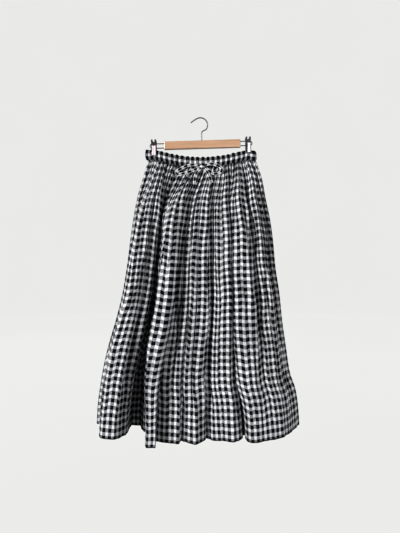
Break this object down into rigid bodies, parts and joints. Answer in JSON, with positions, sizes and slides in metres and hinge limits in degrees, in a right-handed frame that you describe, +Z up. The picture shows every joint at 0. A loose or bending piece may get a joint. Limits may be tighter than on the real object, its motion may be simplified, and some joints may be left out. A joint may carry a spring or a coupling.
{
  "type": "gathered skirt on a clip hanger",
  "caption": "Gingham midi skirt gathered on an elastic waistband with a drawstring bow, clipped by the waist to a wooden hanger.",
  "frame": {"origin": "inner crown of the hanger's hook, where the hanger is hung up", "axes": "+Z up, the skirt's front faces -Y, +X to the right of whoever faces the front"},
  "size_m": [0.6072, 0.1692, 0.9305],
  "materials": {
    "gingham": "matte plain-weave cotton in a black and white check",
    "drawstring": "matte plain-weave cotton in a black and white check",
    "beech": "satin varnished beech",
    "hook_wire": "drawn and plated wire",
    "clip_metal": "bright plated sheet",
    "jaw_pad": "soft pale pad"
  },
  "bodies": {
    "root": {"front_panel": "gingham", "back_panel": "gingham", "waistband": "gingham", "bow_knot": "drawstring", "bow_loop_left": "drawstring", "bow_loop_right": "drawstring", "tie_end_left": "drawstring", "tie_end_right": "drawstring", "hook": "hook_wire", "wood_bar": "beech", "rail_left": "hook_wire", "rail_right": "hook_wire", "clip_left_saddle": "clip_metal", "clip_left_front_plate": "clip_metal", "clip_left_back_plate": "clip_metal", "clip_left_front_pad": "jaw_pad", "clip_left_back_pad": "jaw_pad", "clip_right_saddle": "clip_metal", "clip_right_front_plate": "clip_metal", "clip_right_back_plate": "clip_metal", "clip_right_front_pad": "jaw_pad", "clip_right_back_pad": "jaw_pad"}
  },
  "joints": []
}
